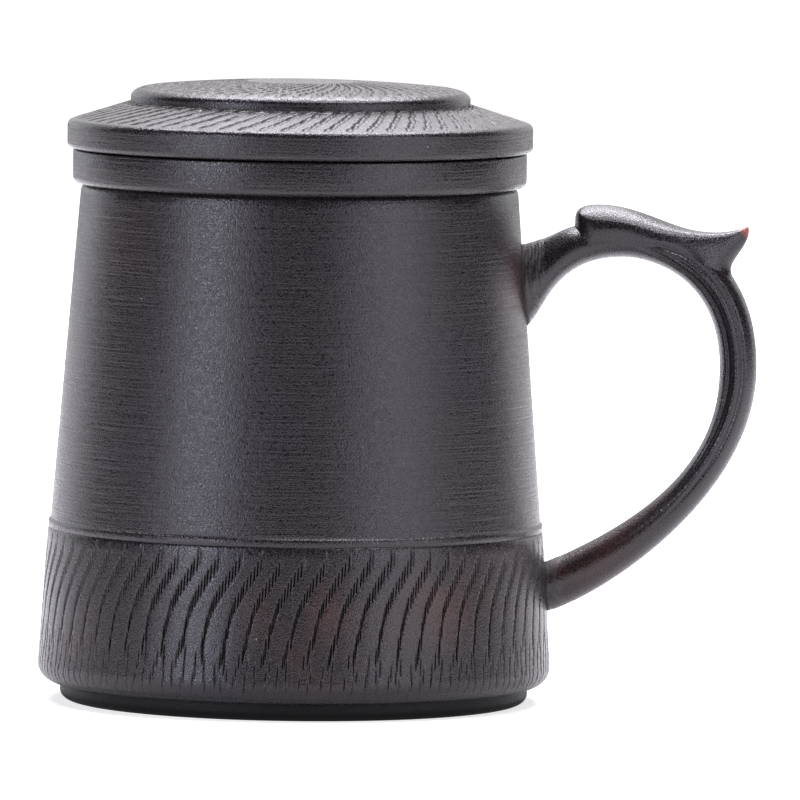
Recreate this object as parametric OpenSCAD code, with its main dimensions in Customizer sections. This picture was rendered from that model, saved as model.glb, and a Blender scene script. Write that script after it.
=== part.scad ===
// A lidded tea mug with a lift-out infuser, turned and carved in unglazed dark clay.
// It comes apart into three: the mug with its handle, the infuser that hangs in the mug's
// mouth, and the lid that sits on the infuser's rim. The axis of the mug is Z, the table is
// z = 0, and the handle points along +X.

/* [Mug] */
// Height of the lip above the table
mug_height = 96.6; // [88:0.1:112]
// Outer radius of the lip
lip_radius = 40.9; // [37:0.1:44]
// Outer radius at the foot of the tapered wall, just above the scribed lines
shoulder_radius = 46; // [43:0.1:49]
// Height of the upper scribed line
shoulder_z = 33.6; // [31:0.1:38]
// How far the carved band stands out from the wall at its top
band_step = 0.6; // [0.4:0.1:1.5]
// How much the radius grows from there down to the belly, the widest place
belly_swell = 1.5; // [0.4:0.1:3]
// Rounding from the belly to the underside
belly_round = 3.6; // [2:0.1:6]
// Thickness of the wall
mug_wall = 3.5; // [2.5:0.1:4.5]
// Thickness of the floor
mug_floor = 4; // [3:0.1:7]
// Rounding inside, from wall to floor
floor_round = 6; // [3:0.5:9]
// Depth of the two scribed lines
scribe_depth = 0.3; // [0.1:0.05:0.5]
// Distance between them
scribe_spacing = 1.2; // [1.1:0.1:1.6]
// How far the small bead above each line stands out
scribe_bead = 0.2; // [0.05:0.05:0.4]
// Distance from the upper line down to the carved band
band_lead = 3.2; // [2.6:0.1:5]

/* [Foot ring] */
// Height of the foot ring
foot_height = 3.3; // [2.4:0.1:5]
// Width of the foot ring
foot_width = 6; // [5:0.1:10]
// Rounding of its outer edge on the table
foot_round = 2; // [0.8:0.1:2.4]
// How far it stands back from the start of the belly's rounding
foot_inset = 0.6; // [0:0.1:1.5]

/* [Infuser] */
// Clearance between the basket and the mug's mouth
basket_gap = 1; // [0.6:0.1:2]
// Thickness of the basket's wall
basket_wall = 2.4; // [1.8:0.1:3]
// Length of the basket below the lip
basket_depth = 62; // [50:0.5:72]
// How much smaller the basket's outer radius is at its bottom
basket_taper = 2.9; // [1:0.1:5]
// Height of the rim that rests on the lip
rim_height = 6.6; // [5:0.1:9]
// How far the rim stands out over the lip
rim_overhang = 1.6; // [0.8:0.1:2.4]
// Thickness of the pierced floor
strainer_thickness = 2.6; // [2:0.1:4]
// Diameter of the drilled holes
hole_d = 2; // [1.4:0.1:2.6]
// Spacing of the hole circles in the floor
hole_pitch = 5; // [4.6:0.1:6]
// Rows of holes low on the wall
wall_hole_rows = 3; // [0:1:4]
// Spacing of those rows, and of the lowest one from the pierced floor
wall_hole_spacing = 6; // [4:0.1:8]
// Holes in each of those rows
wall_hole_count = 24; // [12:1:30]

/* [Lid] */
// How far the lid stands out over the rim
lid_overhang = 1.1; // [0.6:0.1:2]
// Height of the lid's edge, with its rounding
lid_edge_height = 5.4; // [4.8:0.1:6.5]
// Rounding from the upright edge to the slope
lid_edge_round = 1.2; // [0.6:0.1:2.6]
// Outer radius of the raised centre
dome_radius = 31.8; // [30:0.1:33]
// Height of the top of the dome above the lid's seat
dome_height = 13.3; // [12.6:0.1:16]
// Height of the small step up to the dome
step_height = 2.5; // [2.2:0.1:3]
// Rounding of the step's upper edge
step_round = 2; // [0.5:0.1:2.1]
// Radius of the dome's curvature
dome_curvature = 300; // [220:1:500]
// Radius of the smooth dish in the centre
dish_radius = 10; // [6:0.1:14]
// Depth of that dish
dish_depth = 0.4; // [0.2:0.1:1.5]
// Thickness of the lid over its hollow
lid_wall = 4.2; // [3:0.1:5]
// How far the locating ring reaches down into the basket
ring_depth = 6.2; // [4:0.1:10]
// Thickness of the locating ring
ring_wall = 3; // [2.4:0.1:3.6]
// Clearance between the locating ring and the basket
ring_gap = 0.5; // [0.35:0.05:0.9]

/* [Handle] */
// Gap for the fingers, from the wall to the inside of the handle
finger_gap = 35.5; // [30:0.5:44]
// Distance from the wall to the handle's crown
crown_run = 19.5; // [16:0.5:24]
// Thickness of the handle at its outermost place
grip_thickness = 7; // [5:0.1:8]
// Width of the handle across the grip
grip_width = 10.4; // [8:0.1:13]
// Distance from the lip down to the top of the upper joint
joint_drop = 10.8; // [9:0.1:14]
// Height of the upper joint, down to its pointed lower lip
joint_height = 15.9; // [11:0.1:17]
// Width of the upper joint
joint_width = 13; // [10:0.1:16]
// How far the handle's crown rises above the upper joint
crown_rise = 4.8; // [3:0.1:7]
// Thickness of the handle at its crown
crown_thickness = 6.5; // [5.5:0.1:9]
// Height of the lower joint's underside above the table
tail_z = 18.1; // [15:0.1:21]
// Height of the lower joint
tail_height = 8.1; // [6.5:0.1:9.5]
// Width of the lower joint
tail_width = 9.8; // [8:0.1:12]
// Depth of the groove along each side of the grip
groove_depth = 0.8; // [0.2:0.05:1]

/* [Thumb rest] */
// Width of the thumb rest at its round head
thumb_width = 12.6; // [11.5:0.1:15]
// Height of the head above the handle's crown
thumb_rise = 3.3; // [2.4:0.1:4.2]
// Length of the round head
head_length = 4.5; // [3:0.1:6]
// Width of the horn at its tip
horn_width = 3; // [2:0.1:5]
// Height of the crown above the horn's tip
horn_drop = 0.5; // [-1:0.1:2]
// Distance from the outermost place of the grip in to the horn's tip
horn_inset = 2; // [0:0.1:4]

/* [Hidden] */
$fn = 96;

clay = [0.22, 0.21, 0.22];
dark_clay = [0.14, 0.13, 0.13];
pale_clay = [0.55, 0.53, 0.52];

arc_steps = 8;
edge_round = 0.8;
seat_gap = 0.3;
seat_land = 3.8;
rim_round = 1.2;
lid_lower_round = 1;
basket_bevel = 1;
cut_past = 1;
embed = 1.4;

belly_z = foot_height + belly_round;
band_top_z = shoulder_z - band_lead;
band_radius = shoulder_radius + band_step;
belly_radius = band_radius + belly_swell;
wall_slope = (shoulder_radius - lip_radius) / (mug_height - shoulder_z);
floor_z = foot_height + mug_floor;

mouth_radius = lip_radius - mug_wall;
basket_radius = mouth_radius - basket_gap;
basket_bottom_z = mug_height - basket_depth;
rim_radius = lip_radius + rim_overhang;
lid_seat_z = mug_height + rim_height;

lid_radius = rim_radius + lid_overhang;
lid_edge_z = lid_seat_z + seat_gap;
dome_z = lid_seat_z + dome_height;
ring_radius = basket_radius - basket_wall - ring_gap;
hollow_radius = ring_radius - ring_wall;
hollow_round = 3;

// Points on a circle about `centre`, from angle `a` to angle `b`
function arc(centre, radius, a, b, steps = arc_steps) =
    [for (i = [0:steps]) let (t = a + (b - a) * i / steps)
        centre + radius * [cos(t), sin(t)]];

// Place at `t` of 0 to 1 on the cubic curve with control points p
function cubic(p, t) =
    pow(1 - t, 3) * p[0] + 3 * pow(1 - t, 2) * t * p[1]
    + 3 * (1 - t) * pow(t, 2) * p[2] + pow(t, 3) * p[3];

// Place at `s` on a chain of such curves, one unit of s to each
function along(curves, s) =
    let (i = min(floor(s), len(curves) - 1)) cubic(curves[i], s - i);

// Outer and inner radius of the mug's tapered wall at height z
function wall_radius(z) = lip_radius + wall_slope * (mug_height - z);
function bore_radius(z) = wall_radius(z) - mug_wall;

// Outer radius of the carved band at height z
function band_radius_at(z) =
    band_radius + (belly_radius - band_radius) * (band_top_z - z) / (band_top_z - belly_z);

// Outer radius of the basket at height z: straight in the rim, tapered below it
function basket_radius_at(z) =
    basket_radius - basket_taper * max(0, mug_height - z) / basket_depth;

// Height of the dome's surface at radius r
function dome_surface(r) = dome_z - r * r / (2 * dome_curvature);

// Height of the dish's surface at radius r, with its rim on the dome
function dish_surface(r) =
    dome_surface(dish_radius) - dish_depth * (1 - pow(r / dish_radius, 2));

// A scribed line around the mug, as three points of its outline: the wall under it, the
// bottom of its groove at height z, and the bead that the tool raised above it
function scribe(z, radius) =
    [[radius + scribe_depth, z - scribe_depth], [radius, z],
     [radius + scribe_bead, z + scribe_depth]];

// ---- Mug ----

// Outline of the mug's outside, from the axis at the underside up to the lip
mug_outside = concat(
    [[0, foot_height]],
    arc([belly_radius - belly_round, belly_z], belly_round, -90, 0),
    [[band_radius, band_top_z]],
    scribe(shoulder_z - scribe_spacing, shoulder_radius + scribe_depth / 2),
    scribe(shoulder_z, shoulder_radius),
    [[wall_radius(shoulder_z + scribe_spacing), shoulder_z + scribe_spacing]],
    arc([lip_radius - edge_round, mug_height - edge_round], edge_round, 0, 90, 4));

// Outline of its inside, from the lip down to the axis at the floor
mug_inside = concat(
    arc([mouth_radius + edge_round, mug_height - edge_round], edge_round, 90, 180, 4),
    arc([bore_radius(floor_z + floor_round) - floor_round, floor_z + floor_round],
        floor_round, 0, -90),
    [[0, floor_z]]);

module mug_body() {
    color(clay)
    rotate_extrude()
        polygon(concat(mug_outside, mug_inside));
}

// The mug with its inside filled, which the handle's ends are cut to fit
module mug_filled() {
    rotate_extrude()
        polygon(concat(mug_outside, [[0, mug_height]]));
}

// The ring that the mug stands on, luted to its underside
module foot_ring() {
    foot_radius = belly_radius - belly_round - foot_inset;
    color(dark_clay)
    rotate_extrude()
        polygon(concat(
            arc([foot_radius - foot_round, foot_round], foot_round, -90, 0),
            [[foot_radius, foot_height], [foot_radius - foot_width, foot_height]],
            arc([foot_radius - foot_width + edge_round, edge_round], edge_round, 180, 270, 4)));
}

// ---- Handle: a loft between an inner and an outer curve in the plane y = 0 ----

joint_top_z = mug_height - joint_drop;
joint_low_z = joint_top_z - joint_height;
crown_z = joint_top_z + crown_rise;
gap_top_z = crown_z - crown_thickness;
tail_top_z = tail_z + tail_height;
side_z = (gap_top_z + tail_top_z) / 2 + tail_height;
crown_x = wall_radius(crown_z) + crown_run;
side_x = wall_radius(side_z) + finger_gap;
tail_x = band_radius_at(tail_z) - embed;

// Control points of a curve from a to b, whose two handles are set as shares of the way
function bend(a, b, first, second) =
    [a, [for (k = [0, 1]) a[k] + first[k] * (b[k] - a[k])],
     [for (k = [0, 1]) a[k] + second[k] * (b[k] - a[k])], b];

// The inside of the loop: up from the upper joint's lip, over the fingers, down to the tail
inner_joint = [wall_radius(joint_low_z) - embed, joint_low_z];
inner_crown = [crown_x, gap_top_z];
inner_side = [side_x, side_z];
inner_curves = [
    bend(inner_joint, inner_crown, [0.25, 0.2], [0.27, 1]),
    bend(inner_crown, inner_side, [0.24, 0], [1, 0.14]),
    bend(inner_side, [tail_x, tail_top_z], [0, 0.26], [0.09, 0.66])];

// The outside of the loop, from the top of the upper joint to the underside of the tail
outer_joint = [wall_radius(joint_top_z) - embed, joint_top_z];
outer_crown = [crown_x, crown_z];
outer_side = [side_x + grip_thickness, side_z];
outer_curves = [
    bend(outer_joint, outer_crown, [0.53, 0.51], [0.33, 1]),
    bend(outer_crown, outer_side, [0.2, 0], [1, 0.08]),
    bend(outer_side, [tail_x, tail_z], [0, 0.64], [1.03, 1.11])];

// Half the handle's width along the loop
half_widths = [
    [joint_width / 2, grip_width / 2, grip_width / 2, grip_width / 2],
    [grip_width / 2, grip_width / 2, grip_width / 2, grip_width / 2],
    [grip_width / 2, grip_width / 2, 0.72 * tail_width / 2, tail_width / 2]];

// How deep the side grooves are at s: they rise after the crown and fade before the tail
function groove_at(s) = groove_depth * max(0, sin(180 * min(1, max(0, (s - 0.9) / 1.7))));

// The point of the handle's skin at station s and angle t round its section, 0 on the
// outside of the loop and 180 on the inside. `grow` lifts it off the skin.
groove_angle = 126;
groove_spread = 12;
function handle_point(s, t, grow = 0) =
    let (
        inside = along(inner_curves, s),
        outside = along(outer_curves, s),
        half = (outside - inside) / 2,
        off = (abs(t) - groove_angle) / groove_spread,
        groove = groove_at(s) * exp(-off * off),
        in_plane = (inside + outside) / 2 + half * (1 + grow / norm(half)) * cos(t))
    [in_plane[0], (along(half_widths, s) + grow - groove) * sin(t), in_plane[1]];

// A solid through closed sections of equal length, with flat ends
module loft(sections) {
    sides = len(sections[0]);
    last = len(sections) - 1;
    side_faces = [
        for (j = [0:last - 1], i = [0:sides - 1])
            let (k = (i + 1) % sides)
            each [[j * sides + i, (j + 1) * sides + i, j * sides + k],
                  [j * sides + k, (j + 1) * sides + i, (j + 1) * sides + k]]];
    polyhedron(
        points = [for (s = sections) each s],
        faces = concat(
            [[for (i = [0:sides - 1]) i]],
            side_faces,
            [[for (i = [sides - 1:-1:0]) last * sides + i]]));
}

handle_rings = 54;
handle_sides = 48;

module handle_loop() {
    color(clay)
    difference() {
        loft([for (j = [0:handle_rings])
            [for (i = [0:handle_sides - 1])
                let (t = 360 * i / handle_sides)
                handle_point(3 * j / handle_rings, t > 180 ? t - 360 : t)]]);
        mug_filled();
    }
}

// ---- Thumb rest: a leaf of clay laid over the crown, with its tail turned up as a horn ----

// Stations of the handle at the leaf's head, at the end of the head, at the horn's tip and
// where the back of the horn runs out
leaf_stations = [0.62, 0.8, 1.56, 1.7];
leaf_seat = 0.05;
leaf_edge = 0.25;

function chord(s) =
    let (c = along(outer_curves, s) - along(inner_curves, s)) c / norm(c);
leaf_start = along(outer_curves, leaf_stations[0]) + leaf_edge * chord(leaf_stations[0]);
leaf_end = along(outer_curves, leaf_stations[3]) + leaf_edge * chord(leaf_stations[3]);
head_end = [leaf_start[0] + head_length, crown_z + thumb_rise];
horn_tip = [outer_side[0] - horn_inset, crown_z - horn_drop];

// The leaf's crest: up the round head, along the back, and down behind the horn
crest_curves = [
    bend(leaf_start, head_end, [0.38, 0.82], [0.1, 1]),
    bend(head_end, horn_tip, [0.38, 0], [0.59, 2.08]),
    bend(horn_tip, leaf_end, [-0.5, 0.36], [2.3, 0.8])];

// How far round the handle the leaf reaches to each side, and how much wider than the
// handle it grows on its way up to the crest
reach_angles = [[40, 88, 100, 100], [100, 100, 96, 72], [72, 58, 42, 24]];
head_spread = 1.5 * (thumb_width / grip_width - 1);
horn_spread = horn_width / grip_width - 0.9;
spreads = [
    [0.1, head_spread, head_spread, head_spread],
    [head_spread, head_spread, horn_spread / 2, horn_spread],
    [horn_spread, horn_spread, horn_spread / 2, 0]];

leaf_rings = 36;
leaf_half_sides = 9;

// The leaf's section at v: its seat on the handle one way, and its upper skin back
function leaf_section(v) =
    let (
        i = min(floor(v), 2),
        s = leaf_stations[i] + (leaf_stations[i + 1] - leaf_stations[i]) * (v - i),
        rise = along(crest_curves, v) - along(outer_curves, s),
        reach = along(reach_angles, v),
        spread = along(spreads, v),
        steps = [for (k = [-leaf_half_sides:leaf_half_sides]) k / leaf_half_sides])
    concat(
        [for (u = steps) handle_point(s, reach * u, leaf_seat)],
        [for (u = steps)
            let (
                fullness = sqrt(1 - pow(abs(u), 2.4)),
                skin = handle_point(s, -reach * u, leaf_seat + leaf_edge))
            [skin[0] + rise[0] * fullness,
             skin[1] * (1 + spread * fullness),
             skin[2] + rise[1] * fullness]]);

module thumb_rest() {
    color(clay)
    loft([for (j = [0:leaf_rings]) leaf_section(3 * j / leaf_rings)]);
}

// ---- Infuser ----

// The basket's wall, a tapered tube open at both ends
basket_outline = concat(
    [[basket_radius, lid_seat_z], [basket_radius, mug_height]],
    [[basket_radius_at(basket_bottom_z + basket_bevel), basket_bottom_z + basket_bevel],
     [basket_radius_at(basket_bottom_z) - basket_bevel, basket_bottom_z],
     [basket_radius_at(basket_bottom_z) - basket_wall, basket_bottom_z],
     [basket_radius - basket_wall, mug_height]],
    arc([basket_radius - basket_wall + edge_round, lid_seat_z - edge_round],
        edge_round, 180, 90, 4));

module infuser_basket() {
    first_row_z = basket_bottom_z + strainer_thickness + wall_hole_spacing;
    color(clay)
    difference() {
        rotate_extrude()
            polygon(basket_outline);
        if (wall_hole_rows > 0)
            for (row = [0:wall_hole_rows - 1], i = [0:wall_hole_count - 1])
                rotate([0, 0, 360 * (i + row / 2) / wall_hole_count])
                    translate([basket_radius / 2, 0, first_row_z + row * wall_hole_spacing])
                        rotate([0, 90, 0])
                            cylinder(h = basket_radius, d = hole_d, $fn = 24);
    }
}

// The pierced disc that closes the basket, with circles of holes round a centre one
module strainer_floor() {
    bore_low = basket_radius_at(basket_bottom_z) - basket_wall;
    bore_high = basket_radius_at(basket_bottom_z + strainer_thickness) - basket_wall;
    circles = floor((bore_low - basket_wall - hole_d / 2) / hole_pitch);
    color(clay)
    difference() {
        translate([0, 0, basket_bottom_z])
            cylinder(h = strainer_thickness, r1 = bore_low, r2 = bore_high);
        for (ring = [0:circles], i = [0:max(0, 6 * ring - 1)])
            rotate([0, 0, 360 * i / max(1, 6 * ring)])
                translate([ring * hole_pitch, 0, basket_bottom_z - cut_past])
                    cylinder(h = strainer_thickness + 2 * cut_past, d = hole_d, $fn = 24);
    }
}

// The thick rim round the basket, which hangs on the lip and carries the lid
module infuser_rim() {
    color(clay)
    rotate_extrude()
        polygon(concat(
            [[basket_radius, lid_seat_z], [basket_radius, mug_height],
             [basket_radius + seat_land, mug_height],
             [basket_radius + seat_land + seat_gap, mug_height + seat_gap]],
            arc([rim_radius - rim_round, mug_height + seat_gap + rim_round],
                rim_round, -90, 0),
            arc([rim_radius - seat_gap, lid_seat_z - seat_gap], seat_gap, 0, 90, 3)));
}

// ---- Lid ----

slope_start = [lid_radius - lid_edge_round, lid_edge_z + lid_edge_height - lid_edge_round];
step_foot = [dome_radius, dome_surface(dome_radius) - step_height];
step_inner = dome_radius - step_round;
dome_tilt = asin(step_inner / dome_curvature);
slope_angle = atan2(step_foot[1] - slope_start[1] - lid_edge_round,
                    slope_start[0] - step_foot[0]);

module lid_cap() {
    hollow_centre = [hollow_radius - hollow_round,
                     dome_surface(hollow_radius - hollow_round) - lid_wall - hollow_round];
    color(pale_clay)
    rotate_extrude()
        polygon(concat(
            [[hollow_radius, lid_seat_z],
             [basket_radius + seat_land - seat_gap, lid_seat_z],
             [basket_radius + seat_land, lid_edge_z]],
            arc([lid_radius - lid_lower_round, lid_edge_z + lid_lower_round],
                lid_lower_round, -90, 0),
            arc(slope_start, lid_edge_round, 0, 90 - slope_angle),
            [step_foot],
            arc([step_inner, dome_surface(step_inner) - step_round],
                step_round, 0, 90 - dome_tilt, 5),
            [for (i = [1:8]) let (r = step_inner + (dish_radius - step_inner) * i / 8)
                [r, dome_surface(r)]],
            [for (i = [1:6]) let (r = dish_radius * (1 - i / 6)) [r, dish_surface(r)]],
            [for (i = [0:7]) let (r = hollow_centre[0] * i / 8)
                [r, dome_surface(r) - lid_wall]],
            arc(hollow_centre, hollow_round, 90, 0)));
}

// The ring under the lid that keeps it centred in the basket
module lid_locating_ring() {
    color(clay)
    rotate_extrude()
        polygon(concat(
            [[ring_radius, lid_seat_z], [hollow_radius, lid_seat_z]],
            arc([hollow_radius + edge_round, lid_seat_z - ring_depth + edge_round],
                edge_round, 180, 270, 4),
            arc([ring_radius - edge_round, lid_seat_z - ring_depth + edge_round],
                edge_round, 270, 360, 4)));
}

mug_body();
foot_ring();
handle_loop();
thumb_rest();
infuser_basket();
infuser_rim();
strainer_floor();
lid_cap();
lid_locating_ring();
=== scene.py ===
"""A lidded tea mug with a lift-out infuser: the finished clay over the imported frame."""
import math
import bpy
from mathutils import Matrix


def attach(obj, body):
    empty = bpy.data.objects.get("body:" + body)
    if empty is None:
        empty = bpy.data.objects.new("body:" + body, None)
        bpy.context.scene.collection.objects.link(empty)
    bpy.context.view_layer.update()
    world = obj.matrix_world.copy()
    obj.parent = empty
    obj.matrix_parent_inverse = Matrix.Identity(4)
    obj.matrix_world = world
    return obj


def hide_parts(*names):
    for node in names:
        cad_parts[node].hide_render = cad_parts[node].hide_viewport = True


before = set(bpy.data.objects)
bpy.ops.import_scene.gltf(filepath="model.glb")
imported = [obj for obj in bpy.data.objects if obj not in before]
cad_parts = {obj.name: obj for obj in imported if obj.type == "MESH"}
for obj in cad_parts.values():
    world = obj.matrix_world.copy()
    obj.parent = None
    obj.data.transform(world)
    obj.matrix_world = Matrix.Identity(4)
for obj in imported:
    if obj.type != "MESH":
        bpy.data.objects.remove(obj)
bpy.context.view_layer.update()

from types import SimpleNamespace

import bpy
import numpy as np
from bpy.props import FloatProperty, FloatVectorProperty, IntProperty, PointerProperty
from mathutils import Matrix, Vector

bl_info = {
    "name": "Lidded tea mug",
    "version": (1, 0, 0),
    "blender": (4, 5, 0),
    "location": "3D View > Sidebar > Tea Mug",
    "description": "Turns, carves and lights a lidded clay tea mug with an infuser",
    "category": "Object",
}

MM = 0.001
TURN = 2 * math.pi


# ---- Sizes and colours ----

def length(name, description, millimetres):
    """A property that holds a length, given here in millimetres."""
    return FloatProperty(name=name, description=description, default=millimetres * MM,
                         unit="LENGTH", precision=5)


def colour(name, description, red, green, blue):
    """A property that holds a colour, given here as screen values from 0 to 255."""
    screen = np.array([red, green, blue]) / 255
    linear = np.where(screen > 0.04045, ((screen + 0.055) / 1.055) ** 2.4, screen / 12.92)
    return FloatVectorProperty(name=name, description=description, subtype="COLOR", size=3,
                               min=0, max=1, default=tuple(linear))


class MugSizes(bpy.types.PropertyGroup):
    """Sizes of the thrown mug and its foot"""
    mug_height: length("Height", "Height of the lip above the table", 96.6)
    lip_radius: length("Lip radius", "Outer radius of the lip", 40.9)
    shoulder_radius: length("Shoulder radius", "Outer radius just above the scribed lines", 46)
    shoulder_z: length("Shoulder height", "Height of the upper scribed line", 33.6)
    band_step: length("Band step", "How far the carved band stands out from the wall", 0.6)
    belly_swell: length("Belly swell", "Growth of the radius from the band down to the belly", 1.5)
    belly_round: length("Belly rounding", "Rounding from the belly to the underside", 3.6)
    mug_wall: length("Wall", "Thickness of the wall", 3.5)
    mug_floor: length("Floor", "Thickness of the floor", 4)
    floor_round: length("Floor rounding", "Rounding inside, from wall to floor", 6)
    scribe_depth: length("Scribe depth", "Depth of the two scribed lines", 0.3)
    scribe_spacing: length("Scribe spacing", "Distance between the scribed lines", 1.2)
    band_lead: length("Band lead", "Distance from the upper scribed line to the band", 3.2)
    foot_height: length("Foot height", "Height of the foot ring", 3.3)
    foot_width: length("Foot width", "Width of the foot ring", 6)
    foot_round: length("Foot rounding", "Rounding of the foot's outer edge", 2)
    foot_inset: length("Foot inset", "How far the foot stands back under the belly", 0.6)
    edge_round: length("Edge rounding", "Rounding of the lip and of other thin edges", 0.8)


class CarvingSizes(bpy.types.PropertyGroup):
    """The marks of the chattering knife"""
    band_chains: IntProperty(name="Band chains", description="Chains of nicks round the mug",
                             default=72, min=24, max=120)
    slope_chains: IntProperty(name="Slope chains", description="Chains on the lid's slope",
                              default=66, min=24, max=90)
    notches: IntProperty(name="Notches", description="Notches along the foot of the lid's step",
                         default=48, min=24, max=90)
    dome_chains: IntProperty(name="Dome chains", description="Chains on the lid's dome",
                             default=57, min=24, max=90)
    row_step: length("Row step", "How far the knife moves on for each round", 0.95)
    nick_length: length("Nick length", "Length of one nick", 3.1)
    nick_width: length("Nick width", "Width of one nick", 0.3)
    nick_depth: length("Nick depth", "Depth of one nick", 0.6)
    flute_depth: length("Flute depth", "Depth of the shallow hollow along a chain", 0.05)
    scoop_width: length("Scoop width", "Width of one scoop on the lid", 1.35)
    scoop_depth: length("Scoop depth", "Depth of one scoop on the lid", 0.36)
    skin: length("Skin", "Thickness of the carved skin laid into its seat", 1.2)


class InfuserSizes(bpy.types.PropertyGroup):
    """Sizes of the infuser's rim"""
    basket_gap: length("Basket gap", "Clearance between the basket and the mouth", 1)
    basket_wall: length("Basket wall", "Thickness of the basket's wall", 2.4)
    rim_height: length("Rim height", "Height of the rim that rests on the lip", 6.6)
    rim_overhang: length("Rim overhang", "How far the rim stands out over the lip", 1.6)
    rim_round: length("Rim rounding", "Rounding of the rim's lower edge", 1.2)
    seat_gap: length("Seat gap", "Open line under the rim and under the lid", 0.3)
    seat_land: length("Seat land", "Width of the face that the rim rests on", 3.8)


class LidSizes(bpy.types.PropertyGroup):
    """Sizes of the lid"""
    lid_overhang: length("Overhang", "How far the lid stands out over the rim", 1.1)
    lid_edge_height: length("Edge height", "Height of the lid's edge, with its rounding", 5.4)
    lid_edge_round: length("Edge rounding", "Rounding from the edge to the slope", 1.2)
    lid_lower_round: length("Lower rounding", "Rounding of the lid's lower edge", 1)
    dome_radius: length("Dome radius", "Outer radius of the raised centre", 31.8)
    dome_height: length("Dome height", "Height of the dome above the lid's seat", 13.3)
    step_height: length("Step height", "Height of the small step up to the dome", 2.5)
    step_round: length("Step rounding", "Height of the rounding of the step's upper edge", 2)
    step_run: length("Step run", "Width of that rounding", 4.5)
    dome_curvature: length("Dome curvature", "Radius of the dome's curvature", 300)
    dish_radius: length("Dish radius", "Radius of the smooth dish in the centre", 10)
    dish_depth: length("Dish depth", "Depth of that dish", 0.4)
    lid_wall: length("Lid wall", "Thickness of the lid over its hollow", 4.2)
    hollow_round: length("Hollow rounding", "Rounding inside the lid's hollow", 3)
    ring_depth: length("Ring depth", "Reach of the locating ring into the basket", 6.2)
    ring_wall: length("Ring wall", "Thickness of the locating ring", 3)
    ring_gap: length("Ring gap", "Clearance between that ring and the basket", 0.5)


class HandleSizes(bpy.types.PropertyGroup):
    """Sizes of the handle and its thumb rest"""
    finger_gap: length("Finger gap", "From the wall to the inside of the handle", 35.5)
    crown_run: length("Crown run", "From the wall to the handle's crown", 19.5)
    grip_thickness: length("Grip thickness", "Thickness at the outermost place", 7)
    grip_width: length("Grip width", "Width across the grip", 10.4)
    joint_drop: length("Joint drop", "From the lip down to the upper joint", 10.8)
    joint_height: length("Joint height", "Height of the upper joint", 15.9)
    joint_width: length("Joint width", "Width of the upper joint", 13)
    crown_rise: length("Crown rise", "Rise of the crown above the upper joint", 4.8)
    crown_thickness: length("Crown thickness", "Thickness at the crown", 6.5)
    tail_z: length("Tail height", "Height of the lower joint's underside", 18.1)
    tail_height: length("Tail thickness", "Height of the lower joint", 8.1)
    tail_width: length("Tail width", "Width of the lower joint", 9.8)
    groove_depth: length("Groove depth", "Depth of the groove along each side", 0.8)
    embed: length("Embedding", "How far the handle's ends reach into the wall", 1.4)
    thumb_width: length("Thumb width", "Width of the thumb rest's round head", 12.6)
    thumb_rise: length("Thumb rise", "Height of the head above the crown", 3.3)
    head_length: length("Head length", "Length of the round head", 4.5)
    horn_width: length("Horn width", "Width of the horn at its tip", 3)
    horn_drop: length("Horn drop", "Height of the crown above the horn's tip", 0.5)
    horn_inset: length("Horn inset", "From the grip's outermost place to the horn's tip", 2)


class ClayColours(bpy.types.PropertyGroup):
    """Colours of the fired clay"""
    body: colour("Body", "Burnished clay", 30, 26, 29)
    warm: colour("Warm", "Reddish clouds left by the fire", 66, 42, 37)
    cool: colour("Cool", "Bluish clouds left by the fire", 27, 27, 42)
    # Colour of the carved marks: the clay's own darker tone there, deepened as painted shade
    cut: colour("Cut", "Clay in the carved marks", 20, 8, 8)
    foot: colour("Foot", "Clay of the foot ring", 13, 11, 11)
    raw: colour("Raw", "Unpolished clay inside", 66, 54, 50)
    worn: colour("Worn", "Red clay that shows through where the skin is thin", 156, 84, 62)
    slip: colour("Slip", "Slip brushed round the handle's joints", 66, 61, 61)


class TeaMugSettings(bpy.types.PropertyGroup):
    """Everything that shapes and colours the mug"""
    mug: PointerProperty(type=MugSizes)
    carving: PointerProperty(type=CarvingSizes)
    infuser: PointerProperty(type=InfuserSizes)
    lid: PointerProperty(type=LidSizes)
    handle: PointerProperty(type=HandleSizes)
    clay: PointerProperty(type=ClayColours)


def sizes():
    """All sizes by name, lengths in millimetres, and the few that follow from them."""
    settings = bpy.context.scene.tea_mug
    found = {}
    for group in (settings.mug, settings.carving, settings.infuser, settings.lid, settings.handle):
        for key in type(group).__annotations__:
            value = getattr(group, key)
            found[key] = value if isinstance(value, int) else value / MM
    s = SimpleNamespace(**found)
    s.belly_z = s.foot_height + s.belly_round
    s.band_top_z = s.shoulder_z - s.band_lead
    s.band_radius = s.shoulder_radius + s.band_step
    s.belly_radius = s.band_radius + s.belly_swell
    s.floor_z = s.foot_height + s.mug_floor
    s.mouth_radius = s.lip_radius - s.mug_wall
    s.basket_radius = s.mouth_radius - s.basket_gap
    s.rim_radius = s.lip_radius + s.rim_overhang
    s.lid_seat_z = s.mug_height + s.rim_height
    s.lid_radius = s.rim_radius + s.lid_overhang
    s.lid_edge_z = s.lid_seat_z + s.seat_gap
    s.dome_z = s.lid_seat_z + s.dome_height
    s.ring_radius = s.basket_radius - s.basket_wall - s.ring_gap
    s.hollow_radius = s.ring_radius - s.ring_wall
    s.groove_z = s.shoulder_z - s.scribe_spacing
    return s


def wall_radius(s, z):
    """Outer radius of the mug's straight tapered wall at height z."""
    return s.lip_radius + (s.shoulder_radius - s.lip_radius) * (s.mug_height - z) / (
        s.mug_height - s.shoulder_z)


def band_radius_at(s, z):
    """Outer radius of the carved band at height z."""
    return s.band_radius + (s.belly_radius - s.band_radius) * (s.band_top_z - z) / (
        s.band_top_z - s.belly_z)


def dome_surface(s, r):
    """Height of the lid's dome at radius r: a shallow parabola."""
    return s.dome_z - r * r / (2 * s.dome_curvature)


# How much higher the fine ring's upper edge stands than the upper scribed line, in mm
RING_RISE = 0.45


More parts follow.
